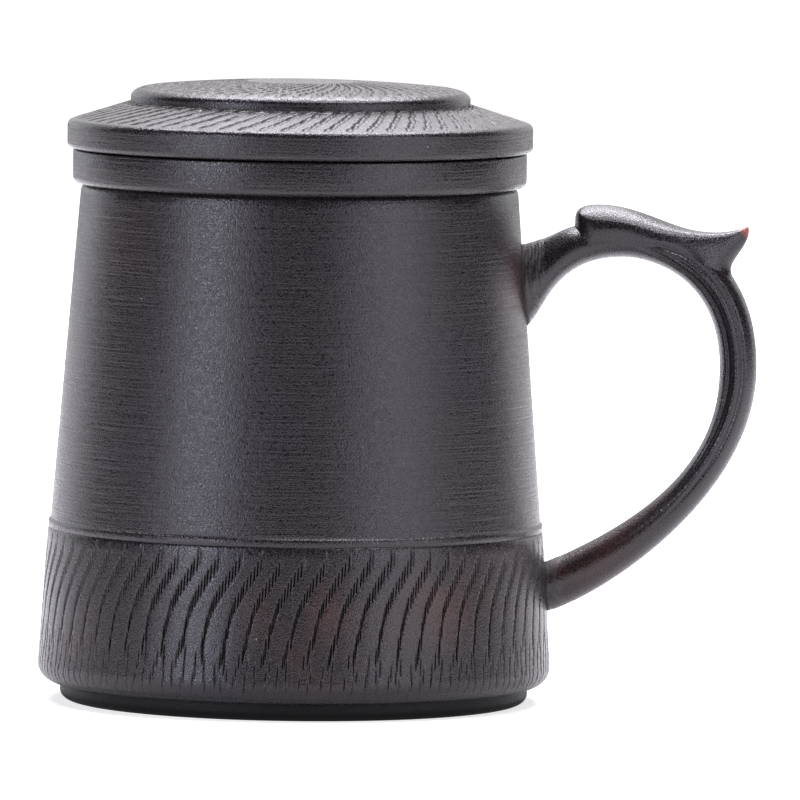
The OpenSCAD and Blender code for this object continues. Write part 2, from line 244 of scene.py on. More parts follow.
def scribed_ring(s):
    """Outline of the fine ring that two scribed lines leave between them: up from the bottom
    of the lower line, over the ring's soft face, into the upper line and onto the wall."""
    d, low, high, r = s.scribe_depth, s.groove_z, s.shoulder_z + RING_RISE, s.shoulder_radius
    return np.array([
        [r + 0.8 * d, low], [r + 1.05 * d, low + 0.4 * d], [r + 1.25 * d, low + 0.9 * d],
        [r + 1.3 * d, (low + high) / 2], [r + 1.2 * d, high - 1.3 * d],
        [r + 0.85 * d, high - 0.7 * d], [r + 0.1 * d, high - 0.15 * d],
        [r - 0.25 * d, high + 0.2 * d], [r - 0.15 * d, high + 0.7 * d],
        [wall_radius(s, high + 1.5 * d), high + 1.5 * d]])


# ---- Outlines and meshes ----

def arc(centre, radius, first, last, steps=10):
    """Points on a circle about the centre, from one angle in degrees to the other."""
    t = np.radians(np.linspace(first, last, steps + 1))
    return np.asarray(centre) + radius * np.stack([np.cos(t), np.sin(t)], 1)


def straight(first, last, steps):
    """Points evenly spaced on the line from the first to the last."""
    t = np.linspace(0, 1, steps + 1)[:, None]
    return np.asarray(first) * (1 - t) + np.asarray(last) * t


def outline(*parts):
    """The parts' points one after another, without the ones that repeat."""
    points = np.concatenate([np.atleast_2d(np.asarray(p, float)) for p in parts])
    apart = np.linalg.norm(np.diff(points, axis=0), axis=1) > 1e-6
    return points[np.concatenate([[True], apart])]


def smooth(x, low, high):
    """0 below low, 1 above high, and an S-shaped rise between them."""
    t = np.clip((x - low) / (high - low), 0, 1)
    return t * t * (3 - 2 * t)


def turned(profile, angles):
    """The grid of points that an outline of (radius, height) sweeps through the angles."""
    r, z = profile[:, :1], profile[:, 1:]
    return np.stack([r * np.cos(angles), r * np.sin(angles), z + 0 * angles], -1)


def round_angles(columns):
    """Angles of that many columns all the way round."""
    return np.arange(columns) * TURN / columns


def tent(a, b, c):
    """Six times the volume between the origin and the triangles a, b, c, added up."""
    return (a * np.cross(b, c)).sum()


def clay_piece(name, grid, body, nodes, finish, ring_rows=False, ring_columns=True,
               crease=38, **marks):
    """A closed mesh through a grid of points, in millimetres.

    Neighbouring grid points make quads. Rows and columns join up where they are said to be
    rings, a row that lies on one spot becomes a pole, and open ends get a flat cap. The
    volume's sign says whether the faces point outwards, and they are turned if not. Each
    mark is a value per grid point that the material reads."""
    rows, columns = grid.shape[:2]
    pole = np.ptp(grid, axis=1).max(axis=1) < 1e-6
    starts = np.concatenate([[0], np.cumsum(np.where(pole, 1, columns))])
    ids = starts[:-1, None] + np.where(pole[:, None], 0, np.arange(columns))
    kept = np.zeros(starts[-1], int)
    kept[ids.ravel()[::-1]] = np.arange(rows * columns)[::-1]
    points = grid.reshape(-1, 3)[kept] * MM
    across = np.hstack([ids, ids[:, :1]]) if ring_columns else ids
    across = np.vstack([across, across[:1]]) if ring_rows else across
    corners = np.stack([across[:-1, :-1], across[:-1, 1:], across[1:, 1:], across[1:, :-1]], -1)
    corners = corners.reshape(-1, 4)
    low, high = corners[:, 0] == corners[:, 1], corners[:, 2] == corners[:, 3]
    faces = corners[~low & ~high].tolist() + corners[low & ~high][:, 1:].tolist()
    faces += corners[high & ~low][:, :3].tolist()
    caps = []
    if not ring_columns:
        caps = [ids[::-1, 0].tolist(), ids[:, -1].tolist()]
    elif not ring_rows:
        caps = [cap for cap, spot in ((ids[0, ::-1].tolist(), pole[0]),
                                      (ids[-1].tolist(), pole[-1])) if not spot]
    a, b, c, d = (points[corners[:, k]] for k in range(4))
    volume = tent(a, b, c) + tent(a, c, d)
    for cap in caps:
        ring = points[cap]
        volume += tent(ring[0], ring[1:-1], ring[2:])
    faces += caps
    if volume < 0:
        faces = [face[::-1] for face in faces]
    mesh = bpy.data.meshes.new(name)
    mesh.from_pydata(points, [], faces)
    for label, values in marks.items():
        layer = mesh.attributes.new(label, "FLOAT", "POINT")
        layer.data.foreach_set("value", np.broadcast_to(values, (rows, columns)).reshape(-1)[kept])
    mesh.shade_smooth()
    if crease:
        mesh.set_sharp_from_angle(angle=math.radians(crease))
    if caps:
        rounded = [True] * (len(faces) - len(caps)) + [False] * len(caps)
        mesh.polygons.foreach_set("use_smooth", rounded)
    if mesh.validate():
        raise RuntimeError(f"{name} has faces that Blender had to mend")
    piece = bpy.data.objects.new(name, mesh)
    bpy.context.scene.collection.objects.link(piece)
    mesh.materials.append(finish)
    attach(piece, body)
    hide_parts(*nodes)
    return piece


# ---- Clay ----

def effect(name, inputs, outputs):
    """A new shader node group with named sockets, and its input and output nodes."""
    tree = bpy.data.node_groups.new(name, "ShaderNodeTree")
    for label, kind, value in inputs:
        tree.interface.new_socket(label, in_out="INPUT", socket_type=kind).default_value = value
    for label, kind in outputs:
        tree.interface.new_socket(label, in_out="OUTPUT", socket_type=kind)
    return tree, tree.nodes.new("NodeGroupInput"), tree.nodes.new("NodeGroupOutput")


def add(tree, kind, settings=(), **inputs):
    """A new node with its settings, and its sockets set to values or linked to sockets.
    A key such as in_0 means the socket of that number, and other keys its name."""
    node = tree.nodes.new(kind)
    for key, value in settings:
        setattr(node, key, value)
    for key, value in inputs.items():
        socket = node.inputs[int(key[3:]) if key.startswith("in_") else key.replace("_", " ")]
        if isinstance(value, bpy.types.NodeSocket):
            tree.links.new(value, socket)
        else:
            socket.default_value = value
    return node


def reckon(tree, operation, *values, clamp=False):
    """The output of a Math node over the given values or sockets."""
    keys = {f"in_{i}": value for i, value in enumerate(values)}
    return add(tree, "ShaderNodeMath", [("operation", operation), ("use_clamp", clamp)],
               **keys).outputs[0]


def blend_colour(tree, share, first, second):
    """The output of a Mix node for colours: share 0 gives the first, and 1 the second."""
    return add(tree, "ShaderNodeMix", [("data_type", "RGBA")],
               in_0=share, in_6=first, in_7=second).outputs[2]


def ramp_value(tree, value, low, high):
    """The value brought from low..high to 0..1, with an S-shaped rise."""
    return add(tree, "ShaderNodeMapRange", [("interpolation_type", "SMOOTHSTEP")],
               Value=value, From_Min=low, From_Max=high).outputs[0]


def noise(tree, vector, scale, detail=2.0, roughness=0.5):
    """The value of a noise texture."""
    return add(tree, "ShaderNodeTexNoise", Vector=vector, Scale=scale, Detail=detail,
               Roughness=roughness).outputs[0]


def make_effects():
    """The shader groups that the clays share, by name."""
    made = {}

    tree, given, out = effect(
        "Fire clouds",
        [("Body", "NodeSocketColor", (0.03, 0.03, 0.03, 1)),
         ("Warm", "NodeSocketColor", (0.08, 0.04, 0.03, 1)),
         ("Cool", "NodeSocketColor", (0.03, 0.03, 0.05, 1)),
         ("Strength", "NodeSocketFloat", 0.5)],
        [("Color", "NodeSocketColor")])
    place = add(tree, "ShaderNodeTexCoord").outputs["Object"]
    marked = add(tree, "ShaderNodeAttribute", [("attribute_name", "warm")]).outputs["Fac"]
    wide = noise(tree, place, 22, 3)
    warm = reckon(tree, "MULTIPLY", ramp_value(tree, wide, 0.55, 0.85), given.outputs["Strength"])
    warm = reckon(tree, "MAXIMUM", warm, reckon(tree, "MULTIPLY", marked, ramp_value(
        tree, noise(tree, place, 140, 4), 0.25, 0.7)), clamp=True)
    cool = reckon(tree, "MULTIPLY", ramp_value(tree, wide, 0.48, 0.25), given.outputs["Strength"],
                  clamp=True)
    tone = blend_colour(tree, cool, given.outputs["Body"], given.outputs["Cool"])
    tree.links.new(blend_colour(tree, warm, tone, given.outputs["Warm"]), out.inputs["Color"])
    made["clouds"] = tree

    tree, given, out = effect(
        "Turning marks",
        [("Fineness", "NodeSocketFloat", 2600.0)],
        [("Height", "NodeSocketFloat"), ("Streak", "NodeSocketFloat")])
    place = add(tree, "ShaderNodeTexCoord").outputs["Object"]
    parts = add(tree, "ShaderNodeSeparateXYZ", Vector=place)
    x, y, z = parts.outputs
    radius = reckon(tree, "SQRT", reckon(tree, "ADD", reckon(tree, "MULTIPLY", x, x),
                                         reckon(tree, "MULTIPLY", y, y)))
    along = reckon(tree, "ADD", z, radius)

    def streaks(round_scale, fineness, detail):
        stretched = add(tree, "ShaderNodeCombineXYZ",
                        X=reckon(tree, "MULTIPLY", x, round_scale),
                        Y=reckon(tree, "MULTIPLY", y, round_scale),
                        Z=reckon(tree, "MULTIPLY", along, fineness)).outputs[0]
        return noise(tree, stretched, 1.0, detail, 0.4)

    fine = streaks(70.0, given.outputs["Fineness"], 1.0)
    broad = streaks(14.0, reckon(tree, "MULTIPLY", given.outputs["Fineness"], 0.22), 2.0)
    both = reckon(tree, "ADD", reckon(tree, "MULTIPLY", fine, 0.7),
                  reckon(tree, "MULTIPLY", broad, 0.5))
    tree.links.new(both, out.inputs["Height"])
    tree.links.new(ramp_value(tree, fine, 0.35, 0.7), out.inputs["Streak"])
    made["turning"] = tree

    tree, given, out = effect(
        "Clay grain",
        [("Grain", "NodeSocketFloat", 4200.0)],
        [("Height", "NodeSocketFloat"), ("Speck", "NodeSocketFloat"),
         ("Shade", "NodeSocketFloat")])
    place = add(tree, "ShaderNodeTexCoord").outputs["Object"]
    grit = noise(tree, place, given.outputs["Grain"], 0.0)
    cells = add(tree, "ShaderNodeTexVoronoi", Vector=place, Scale=260.0).outputs["Distance"]
    rare = ramp_value(tree, noise(tree, place, 90.0, 1.0), 0.6, 0.64)
    speck = reckon(tree, "MULTIPLY", ramp_value(tree, cells, 0.06, 0.03), rare)
    tree.links.new(grit, out.inputs["Height"])
    tree.links.new(speck, out.inputs["Speck"])
    tree.links.new(ramp_value(tree, grit, 0.3, 0.7), out.inputs["Shade"])
    made["grain"] = tree

    tree, given, out = effect(
        "Knife marks and painted shade",
        [("Color", "NodeSocketColor", (0.03, 0.03, 0.03, 1)),
         ("Cut", "NodeSocketColor", (0.01, 0.005, 0.005, 1)),
         ("Worn", "NodeSocketColor", (0.3, 0.1, 0.06, 1)),
         ("Slip", "NodeSocketColor", (0.06, 0.05, 0.05, 1))],
        [("Color", "NodeSocketColor"), ("Depth", "NodeSocketFloat"),
         ("Brushed", "NodeSocketFloat"), ("Polished", "NodeSocketFloat")])
    place = add(tree, "ShaderNodeTexCoord").outputs["Object"]
    depth, worn, slip, polish = (
        add(tree, "ShaderNodeAttribute", [("attribute_name", mark)]).outputs["Fac"]
        for mark in ("cut", "worn", "slip", "polish"))
    patchy = ramp_value(tree, noise(tree, place, 900.0, 3.0), 0.35, 0.6)
    tone = blend_colour(tree, reckon(tree, "MULTIPLY", slip, patchy), given.outputs["Color"],
                        given.outputs["Slip"])
    # Deeper marks turn towards the dark carved-mark colour: the clay's own darker tone there, and
    # painted shade
    tone = blend_colour(tree, ramp_value(tree, depth, 0.06, 0.4), tone, given.outputs["Cut"])
    tone = blend_colour(tree, reckon(tree, "MULTIPLY", worn, ramp_value(
        tree, noise(tree, place, 500.0, 2.0), 0.2, 0.5), clamp=True), tone, given.outputs["Worn"])
    tree.links.new(tone, out.inputs["Color"])
    tree.links.new(depth, out.inputs["Depth"])
    tree.links.new(slip, out.inputs["Brushed"])
    tree.links.new(polish, out.inputs["Polished"])
    made["knife"] = tree
    return made


def clay(name, effects, tone, turning=0.5, fineness=2600.0, grain=0.5, warmth=0.5,
         roughness=0.26, shine=0.5, carved=False):
    """A fired clay: clouds of colour, turning marks and grain in the bump and the roughness, and,
    where it is carved, brushed or worn, the colours that the marks ask for, with painted shade
    darkening the carved marks and grooves."""
    colours = bpy.context.scene.tea_mug.clay
    material = bpy.data.materials.new(name)
    material.use_nodes = True
    tree = material.node_tree
    shader = tree.nodes["Principled BSDF"]

    def four(value):
        return (*value, 1.0)

    def place(group, **inputs):
        return add(tree, "ShaderNodeGroup", [("node_tree", effects[group])], **inputs)

    clouds = place("clouds", Body=four(tone), Warm=four(colours.warm), Cool=four(colours.cool),
                   Strength=warmth)
    marks = place("turning", Fineness=fineness)
    grit = place("grain")
    shade = reckon(tree, "MULTIPLY_ADD", grit.outputs["Shade"], 0.6, 0.7)
    streak = reckon(tree, "MULTIPLY_ADD", marks.outputs["Streak"], 0.25 * turning,
                    1 - 0.12 * turning)
    level = reckon(tree, "MULTIPLY", shade, streak)
    tinted = add(tree, "ShaderNodeMix", [("data_type", "RGBA"), ("blend_type", "MULTIPLY")],
                 in_0=1.0, in_6=clouds.outputs["Color"], in_7=level).outputs[2]
    tinted = blend_colour(tree, reckon(tree, "MULTIPLY", grit.outputs["Speck"], 0.6), tinted,
                          (0.3, 0.28, 0.27, 1))
    rough = reckon(tree, "MULTIPLY_ADD", grit.outputs["Shade"], 0.24, roughness - 0.12)
    if carved:
        knife = place("knife", Color=tinted, Cut=four(colours.cut), Worn=four(colours.worn),
                      Slip=four(colours.slip))
        tinted = knife.outputs["Color"]
        rough = reckon(tree, "MULTIPLY_ADD", knife.outputs["Depth"], 0.3, rough)
        rough = reckon(tree, "MULTIPLY_ADD", knife.outputs["Brushed"], 0.2, rough)
        rough = reckon(tree, "MULTIPLY_ADD", knife.outputs["Polished"], -0.18, rough)
    tree.links.new(tinted, shader.inputs["Base Color"])
    tree.links.new(rough, shader.inputs["Roughness"])
    shader.inputs["Specular IOR Level"].default_value = shine
    bump = add(tree, "ShaderNodeBump", Strength=turning, Distance=0.00012,
               Height=marks.outputs["Height"])
    bump = add(tree, "ShaderNodeBump", Strength=grain, Distance=0.00014,
               Height=grit.outputs["Height"], Normal=bump.outputs[0])
    tree.links.new(bump.outputs[0], shader.inputs["Normal"])
    return material


def finishes():
    """The clays of the object, made once."""
    if "Burnished clay" not in bpy.data.materials:
        effects = make_effects()
        tones = bpy.context.scene.tea_mug.clay
        clay("Burnished clay", effects, tones.body, turning=0.8, warmth=0.35, carved=True)
        clay("Carved clay", effects, tones.body, turning=0.1, grain=0.4, warmth=0.8,
             carved=True)
        clay("Handle clay", effects, tones.body, turning=0.0, grain=0.4, warmth=0.5,
             carved=True)
        clay("Foot clay", effects, tones.foot, turning=0.5, warmth=0.2, roughness=0.55,
             shine=0.25)
        clay("Raw clay", effects, tones.raw, turning=0.9, fineness=1500.0, grain=0.9,
             warmth=0.4, roughness=0.75)
    return bpy.data.materials


# ---- Carving ----

def nick_rows(across, along, pitch, places, shifts, depths, jitters, length, width, lean=0.0,
              scooped=False):
    """Depth of the nicks that a chattering knife leaves, as an array over along x across.

    `across` and `along` are the grid's distances in mm, and pitch the distance between two
    chains. Row k of nicks lies at places[k] and is moved sideways by shifts[k], and each of
    its nicks has its own depth and jitter. A nick is a narrow trench that runs out at its ends,
    or a scooped oval that is deeper on one side, and where nicks overlap the deeper one counts."""
    depth = np.zeros((len(along), across.shape[-1]))
    chains = jitters.shape[1]
    for k, at in enumerate(places):
        step = along - at
        ends = 1 - (2 * step / length) ** 2
        near = ends > 0
        if not near.any():
            continue
        gap = pitch[near, None]
        side = (across[near] - shifts[k] - lean * step[near, None]) / gap
        number = np.round(side).astype(int)
        offset = 2 * ((side - number) * gap - jitters[k][number % chains]) / np.minimum(
            width, 0.55 * gap)
        if scooped:
            shape = np.clip(ends[near, None] - offset ** 2, 0, 1) ** 0.45 * (1 - 0.3 * offset)
        else:
            shape = np.sqrt(ends[near, None]) * np.clip(1 - np.abs(offset) ** 3, 0, 1)
        depth[near] = np.maximum(depth[near], depths[k][number % chains] * shape)
    return depth


def leaning_line(z):
    """How far sideways a chain of the band stands at height z: a bend about z = 21 between a
    steep line and a leaning one, 0.12 (z - 17) + 0.28 ((z - 21) + sqrt((z - 21)^2 + 9))."""
    return 0.12 * (z - 17) + 0.28 * ((z - 21) + np.sqrt((z - 21) ** 2 + 9))


def band_carving(s, angles, heights, radii):
    """Depth of the carving on the band, and its sharply carved part, which also sets how much
    painted shade darkens the nicks.

    Row by row the chains lean steadily down to z = 21 and then stand almost upright, or lean
    on below z = 17 in a few places. Lower down each chain splits into two finer ones, a
    quarter of the pitch to each side, which fade out. A shallow hollow follows each chain."""
    dice = np.random.default_rng(7)
    chains = s.band_chains
    top_row, lowest_row = 30.3, 4.2
    places = np.arange(top_row, lowest_row, -s.row_step)
    rows = (len(places), chains)
    at = places[:, None]
    bearing = np.arange(chains) * TURN / chains
    pitch = TURN * radii / chains
    shifts = leaning_line(places)
    split_z = 12.6 + 1.3 * np.sin(2 * bearing + 1.2) + dice.normal(0, 0.5, chains)
    split = smooth(at, split_z + 0.8, split_z - 1.6)
    beat = np.where(np.arange(len(places)) % 2, 1.0, -1.0)[:, None]
    loose = 0.04 + 0.1 * smooth(at, 19, 16)
    leaning = 0.5 * np.clip(np.cos(2 * bearing - 4.1) + np.cos(5 * bearing + 1.2), 0, 1.6)
    jitters = -0.2 * np.clip(17 - at, 0, 7) * leaning
    jitters = jitters + loose * dice.normal(0, 1, rows) + split * (
        0.25 * pitch.mean() * beat + dice.normal(0, 0.22, rows))
    top_z = 30.7 - np.abs(dice.normal(0, 0.7, chains))
    depths = s.nick_depth * smooth(at, top_z + 0.3, top_z - 1.3) * (1 - 0.5 * split) * (
        0.8 + 0.35 * dice.random(rows)) * smooth(at, 4, 8)
    across = angles[None, :] * radii[:, None]
    sharp = nick_rows(across, heights, pitch, places, shifts, depths, jitters,
                      s.nick_length, s.nick_width, lean=0.06)
    side = (across - leaning_line(heights)[:, None]) / pitch[:, None]
    offset = (side - np.round(side)) * pitch[:, None] - 0.25
    hollow = s.flute_depth * np.exp(-(offset / 0.7) ** 2) * (
        smooth(heights, 31, 27) * smooth(heights, 6, 12))[:, None]
    return sharp + hollow, sharp


# Radius at which a cloud's width is measured, in mm
CLOUD_RADIUS = 46


def clouds_at(angles, heights, spots):
    """Soft patches of warmth, each a bell over the angle and the height. A spot is its angle
    in degrees, height, width, tallness and strength."""
    warm = 0
    for angle, height, wide, tall, strength in spots:
        turn = (angles - math.radians(angle) + math.pi) % TURN - math.pi
        warm = warm + strength * np.exp(
            -(turn * CLOUD_RADIUS / wide) ** 2 - ((heights - height) / tall) ** 2)
    return np.clip(warm, 0, 1)


# Where the fire left reddish clouds on the band and on the wall, as clouds_at takes them
BAND_CLOUDS = [(278, 16, 6, 8, 0.9), (306, 21, 8, 7, 0.9), (212, 14, 5, 8, 0.6),
               (262, 19, 5, 6, 0.35), (120, 17, 8, 7, 0.8), (64, 13, 7, 6, 0.6),
               (158, 20, 6, 6, 0.5), (338, 15, 5, 6, 0.4), (20, 18, 7, 7, 0.6)]
WALL_CLOUDS = [(345, 78, 9, 10, 0.6), (14, 80, 8, 9, 0.6), (150, 60, 14, 12, 0.3)]


# How far the carved band's underside, and the seat that it lies in, stand back behind the
# skin's thickness, in mm
BAND_BACK, SEAT_BACK = 0.6, 0.65


class TEAMUG_OT_throw_mug(bpy.types.Operator):
    """Turn the mug's wall and floor, with the seat for the carved band, and the foot ring"""
    bl_idname = "teamug.throw_mug"
    bl_label = "Throw the mug"

    def execute(self, context):
        s = sizes()
        clays = finishes()
        seat = s.band_radius - s.skin - SEAT_BACK
        under = s.belly_radius - s.belly_round
        wall = outline(
            [0, s.foot_height], [under * 0.9, s.foot_height], [under, s.foot_height],
            [under, s.foot_height + 1], [seat, s.belly_z], [seat, s.groove_z],
            scribed_ring(s),
            straight([wall_radius(s, s.shoulder_z + 1), s.shoulder_z + 1],
                     [wall_radius(s, s.mug_height - 1), s.mug_height - 1], 60),
            arc([s.lip_radius - s.edge_round, s.mug_height - s.edge_round], s.edge_round,
                0, 90, 6),
            arc([s.mouth_radius + s.edge_round, s.mug_height - s.edge_round], s.edge_round,
                90, 180, 6),
            arc([wall_radius(s, s.floor_z + s.floor_round) - s.mug_wall - s.floor_round,
                 s.floor_z + s.floor_round], s.floor_round, 0, -90),
            [0, s.floor_z])
        angles = round_angles(480)
        warm = clouds_at(angles[None, :], wall[:, 1:], WALL_CLOUDS)
        inside = (wall[:, 0] < wall_radius(s, wall[:, 1]) - 2) & (wall[:, 1] > s.floor_z - 1)
        piece = clay_piece("mug_wall", turned(wall, angles), "mug", ["mug_body"],
                           clays["Burnished clay"], warm=warm * ~inside[:, None])
        foot_radius = s.belly_radius - s.belly_round - s.foot_inset
        foot = outline(
            arc([foot_radius - s.foot_round, s.foot_round], s.foot_round, -90, 0),
            [foot_radius, s.foot_height], [foot_radius - s.foot_width, s.foot_height],
            arc([foot_radius - s.foot_width + s.edge_round, s.edge_round], s.edge_round,
                180, 270, 4))
        piece = clay_piece("foot_turned", turned(foot, round_angles(360)), "mug", ["foot_ring"],
                           clays["Foot clay"], ring_rows=True)
        return {"FINISHED"}


class TEAMUG_OT_carve_band(bpy.types.Operator):
    """Carve the band round the lower mug, as four quarter rings laid into their seat"""
    bl_idname = "teamug.carve_band"
    bl_label = "Carve the band"

    def execute(self, context):
        s = sizes()
        clays = finishes()
        columns = 4320
        under = s.belly_radius - s.belly_round
        seat = s.band_radius - s.skin - BAND_BACK
        outside = outline(
            arc([under, s.belly_z], s.belly_round, -90, 0, 8),
            straight([band_radius_at(s, 7.6), 7.6], [s.band_radius, s.band_top_z], 71),
            [s.shoulder_radius + 1.5 * s.scribe_depth, s.groove_z - 1.7 * s.scribe_depth],
            [s.shoulder_radius + 1.2 * s.scribe_depth, s.groove_z - 0.6 * s.scribe_depth],
            [s.shoulder_radius + 0.8 * s.scribe_depth, s.groove_z])
        inside = outline([seat, s.groove_z], [seat, s.belly_z], [under, s.foot_height + 1.05])
        angles = np.arange(columns + 1) * TURN / columns
        r, z = outside[:, 0], outside[:, 1]
        depth, sharp = band_carving(s, angles, z, r)
        # The band is left smooth where the handle's lower end is luted on
        from_handle = np.abs((angles + math.pi) % TURN - math.pi) * s.band_radius
        clear = 1 - smooth(from_handle, s.tail_width / 2, s.tail_width / 2 - 1)[None, :] * smooth(
            z, s.tail_z - 1, s.tail_z)[:, None] * smooth(z, s.tail_z + s.tail_height + 1.5,
                                                         s.tail_z + s.tail_height)[:, None]
        depth, sharp = depth * clear, sharp * clear
        skin = turned(outside, angles)
        radial = (r[:, None] - depth) / r[:, None]
        skin[..., 0] *= radial
        skin[..., 1] *= radial
        grid = np.concatenate([skin, turned(inside, angles)])
        # The sharply carved depth, as a share of the full depth, sets the painted shade and darker
        # clay tone in the nicks
        blank = np.zeros((len(inside), columns + 1))
        cut = np.concatenate([sharp / s.nick_depth, blank])
        warm = np.concatenate([clouds_at(angles[None, :], z[:, None], BAND_CLOUDS), blank])
        quarter = columns // 4
        sides = ("back_right", "back_left", "front_left", "front_right")
        for place, name in enumerate(sides):
            part = slice(place * quarter, (place + 1) * quarter + 1)
            piece = clay_piece(f"carved_band_{name}", grid[:, part], "mug", ["mug_body"],
                               clays["Carved clay"], ring_rows=True, ring_columns=False,
                               crease=0, cut=cut[:, part], warm=warm[:, part])
        return {"FINISHED"}


# ---- Handle and thumb rest ----

def cubic(points, t):
    """Place on cubic curves: points is (..., 4, n) and t is (...)."""
    t = np.asarray(t)[..., None]
    return ((1 - t) ** 3 * points[..., 0, :] + 3 * (1 - t) ** 2 * t * points[..., 1, :]
            + 3 * (1 - t) * t ** 2 * points[..., 2, :] + t ** 3 * points[..., 3, :])


def along(curves, s):
    """Place at s on a chain of cubic curves, one unit of s to each."""
    curves = np.asarray(curves, float)
    if curves.ndim == 2:
        return along(curves[..., None], s)[..., 0]
    i = np.clip(np.floor(s).astype(int), 0, len(curves) - 1)
    return cubic(curves[i], s - i)


def bend(first, last, near_first, near_last):
    """Control points of a curve whose two handles are set as shares of the way."""
    first, last, near_first, near_last = (
        np.asarray(value, float) for value in (first, last, near_first, near_last))
    return [first, first + near_first * (last - first), first + near_last * (last - first), last]


def handle_curves(s):
    """The loop's inner and outer curve in the plane y = 0, its half widths, the height of its
    crown and its outermost reach."""
    joint_top = s.mug_height - s.joint_drop
    joint_low = joint_top - s.joint_height
    crown_z = joint_top + s.crown_rise
    gap_top = crown_z - s.crown_thickness
    tail_top = s.tail_z + s.tail_height
    side_z = (gap_top + tail_top) / 2 + s.tail_height
    crown_x = wall_radius(s, crown_z) + s.crown_run
    side_x = wall_radius(s, side_z) + s.finger_gap
    tail_x = band_radius_at(s, s.tail_z) - s.embed
    crown, side = [crown_x, gap_top], [side_x, side_z]
    inner = [bend([wall_radius(s, joint_low) - s.embed, joint_low], crown,
                  [0.25, 0.2], [0.27, 1]),
             bend(crown, side, [0.24, 0], [1, 0.14]),
             bend(side, [tail_x, tail_top], [0, 0.26], [0.09, 0.66])]
    crown, side = [crown_x, crown_z], [side_x + s.grip_thickness, side_z]
    outer = [bend([wall_radius(s, joint_top) - s.embed, joint_top], crown,
                  [0.53, 0.51], [0.33, 1]),
             bend(crown, side, [0.2, 0], [1, 0.08]),
             bend(side, [tail_x, s.tail_z], [0, 0.64], [1.03, 1.11])]
    grip = s.grip_width / 2
    widths = [[s.joint_width / 2, grip, grip, grip], [grip] * 4,
              [grip, grip, 0.72 * s.tail_width / 2, s.tail_width / 2]]
    return SimpleNamespace(inner=inner, outer=outer, widths=widths, crown_z=crown_z,
                           outermost=side[0])


def groove_at(s, station):
    """Depth of the main side groove: it rises after the crown and fades before the tail."""
    return s.groove_depth * smooth(station, 1.08, 1.4) * smooth(station, 2.65, 2.15)


def handle_skin(s, loop, station, angle, grow=0.0):
    """Points of the handle's skin, and how deep its grooves are there.

    A section is an ellipse on the chord between the two curves. On each side a broad groove
    and a finer one run along it, with soft ridges beside them. They start close together
    under the thumb rest and draw apart to 120 and 83 degrees."""
    inside, outside = along(loop.inner, station), along(loop.outer, station)
    half = (outside - inside) / 2
    reach = np.linalg.norm(half, axis=-1, keepdims=True)
    turn = np.degrees(np.abs(angle))
    main = groove_at(s, station)
    apart = smooth(station, 1.1, 1.5)

    def furrow(place, wide):
        return main * np.exp(-((turn - place) / wide) ** 2)

    depth = (furrow(104 + 16 * apart, 10) + 0.42 * furrow(92 - 9 * apart, 6)
             - 0.2 * furrow(98 + 1 * apart, 6) - 0.16 * furrow(75 - 9 * apart, 8))
    centre = (inside + outside) / 2
    lift = np.asarray(grow)[..., None] if np.ndim(grow) else grow
    place = centre + half * (1 + lift / reach) * np.cos(angle)[..., None]
    y = (along(loop.widths, station) + grow - depth) * np.sin(angle)
    return np.stack([place[..., 0], y, place[..., 1]], -1), depth


class TEAMUG_OT_pull_handle(bpy.types.Operator):
    """Pull the looped handle with its side grooves and the slip round its joints"""
    bl_idname = "teamug.pull_handle"
    bl_label = "Pull the handle"

    def execute(self, context):
        s = sizes()
        loop = handle_curves(s)
        rows, columns = 420, 180
        station = np.linspace(0, 3, rows)[:, None] + np.zeros(columns)
        angle = round_angles(columns)
        angle = np.where(angle > math.pi, angle - TURN, angle)[None, :] + 0 * station
        grid, depth = handle_skin(s, loop, station, angle)
        out = np.hypot(grid[..., 0], grid[..., 1]) - wall_radius(s, grid[..., 2])
        # The slip swells the skin near both joints and is a little rippled, and painted shade
        # darkens the crease where the handle meets the wall
        upper = smooth(out, 4.6, 3.2) * (station < 1)
        lower = smooth(out, 3.6, 2.4) * (station > 2)
        slip = np.maximum(upper, lower)
        wave = np.sin(7 * out + 2.5 * np.sin(3 * angle)) * np.sin(3.1 * out + 5 * angle)
        grow = slip * (0.07 + 0.03 * wave)
        seam_shade = smooth(out, 0.75, 0.2)
        grid, depth = handle_skin(s, loop, station, angle, grow)
        red = smooth(station, 2.45, 2.9) * smooth(out, 1, 4)
        # The grooves carry a little painted shade, and the crease along the wall a dark painted
        # shade
        piece = clay_piece("handle_strap", grid, "mug", ["handle_loop"],
                           finishes()["Handle clay"], crease=0,
                           cut=np.maximum(np.clip(depth / s.groove_depth, 0, 1) * 0.3, seam_shade),
                           slip=slip * (0.5 + 0.5 * wave), warm=red * 0.65)
        return {"FINISHED"}


def softened(v, values):
    """The values with each one replaced by a bell-shaped mean of those within 0.5 of its v,
    but left alone before v = 1.2, where the head of the leaf ends."""
    steps = np.linspace(-0.5, 0.5, 21)
    bell = np.exp(-(steps / 0.22) ** 2)
    mean = sum(b * np.interp(v + step, v, values) for b, step in zip(bell, steps)) / bell.sum()
    return values + (mean - values) * smooth(v, 1.2, 1.6)


def leaf_crest(s, loop, start, end):
    """Curves of the thumb rest's crest, from its nose over the round head and the turned-up
    horn's tip to its end, and the places of the head and the tip."""
    head = [start[0] + s.head_length, loop.crown_z + s.thumb_rise]
    horn = [loop.outermost - s.horn_inset, loop.crown_z - s.horn_drop]
    crest = [bend(start, head, [0.38, 0.82], [0.1, 1]),
             bend(head, horn, [0.38, 0], [0.59, 2.08]),
             bend(horn, end, [-0.5, 0.36], [2.3, 0.8])]
    return crest, head, horn


